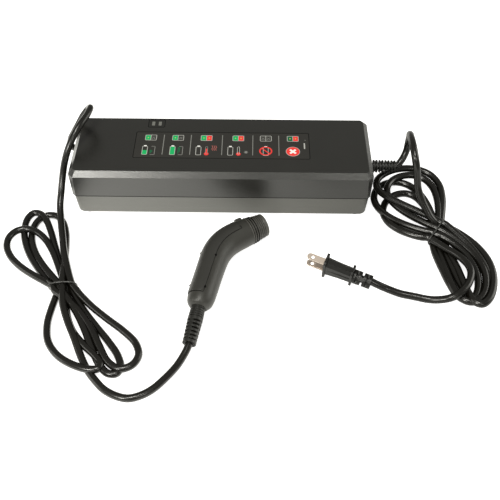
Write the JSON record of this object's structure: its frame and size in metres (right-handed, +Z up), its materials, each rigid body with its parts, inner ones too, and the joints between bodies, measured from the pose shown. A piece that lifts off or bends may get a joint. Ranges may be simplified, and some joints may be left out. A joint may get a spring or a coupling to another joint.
{
  "type": "cordless mower battery charger",
  "caption": "Flat black moulded charger box with legend panel and lamp window, ribbed cord sleeves, a mains cord with flat-blade plug and an output cord with bent-handle connector, both hanked.",
  "frame": {"origin": "under the middle of the housing, on the plane of the feet", "axes": "+X along the housing towards the mains cord, +Y to the back where the lamp window is, +Z up"},
  "size_m": [0.4567, 0.2981, 0.0796],
  "materials": {
    "housing": "fine grained, slightly glossy",
    "legend": "matt film with printed fields",
    "window": "smooth",
    "lens": "milky",
    "screw_steel": "plated",
    "foot_rubber": "matt",
    "sleeve_rubber": "satin",
    "cord_jacket": "satin",
    "tie_wire": "coated wire",
    "plug_moulding": "satin",
    "blade_metal": "nickel plated",
    "handle_plastic": "fine grained",
    "inlay_rubber": "matt",
    "collar_plastic": "ringed",
    "insulator": "matt",
    "contact_metal": "bright",
    "board": "solder mask",
    "sheet": "film",
    "fuse_ceramic": "matt",
    "copper_wire": "enamelled copper",
    "yellow_case": "moulded",
    "black_epoxy": "moulded",
    "capacitor_sleeve": "shrunk film",
    "heatsink": "extruded",
    "ferrite": "matt",
    "relay_case": "moulded",
    "white_epoxy": "moulded",
    "lamp": "clear",
    "mains_wire": "insulated",
    "output_wire": "insulated"
  },
  "bodies": {
    "root": {"upper_housing": "housing", "lower_housing": "housing", "legend_panel": "legend", "led_window": "window", "light_pipe_left": "lens", "light_pipe_right": "lens", "housing_screws": "screw_steel", "foot_front_left": "foot_rubber", "foot_front_right": "foot_rubber", "foot_back_left": "foot_rubber", "foot_back_right": "foot_rubber", "mains_strain_relief": "sleeve_rubber", "mains_cord_lead": "cord_jacket", "mains_cord_hank": "cord_jacket", "mains_cord_tail": "cord_jacket", "mains_cord_tie": "tie_wire", "plug_body": "plug_moulding", "plug_blade_upper": "blade_metal", "plug_blade_lower": "blade_metal", "dc_strain_relief": "sleeve_rubber", "dc_cord_lead": "cord_jacket", "dc_cord_hank": "cord_jacket", "dc_cord_tail": "cord_jacket", "dc_cord_tie": "tie_wire", "connector_strain_relief": "sleeve_rubber", "connector_handle": "handle_plastic", "connector_grip_inlay": "inlay_rubber", "connector_collar": "collar_plastic", "connector_insulator": "insulator", "connector_contacts": "contact_metal", "circuit_board": "board", "board_screws": "screw_steel", "insulating_sheet": "sheet", "fuse": "fuse_ceramic", "emi_choke": "copper_wire", "x_capacitor": "yellow_case", "bridge_rectifier": "black_epoxy", "bulk_capacitor_front": "capacitor_sleeve", "bulk_capacitor_back": "capacitor_sleeve", "primary_heatsink": "heatsink", "switching_transistors": "black_epoxy", "transformer_core": "ferrite", "transformer_winding": "yellow_case", "secondary_heatsink": "heatsink", "output_diodes": "black_epoxy", "output_inductor": "copper_wire", "output_capacitors": "capacitor_sleeve", "relay": "relay_case", "control_chip": "black_epoxy", "optocoupler": "white_epoxy", "indicator_board": "board", "led_lamps": "lamp", "mains_inner_wires": "mains_wire", "output_inner_wires": "output_wire"}
  },
  "joints": []
}
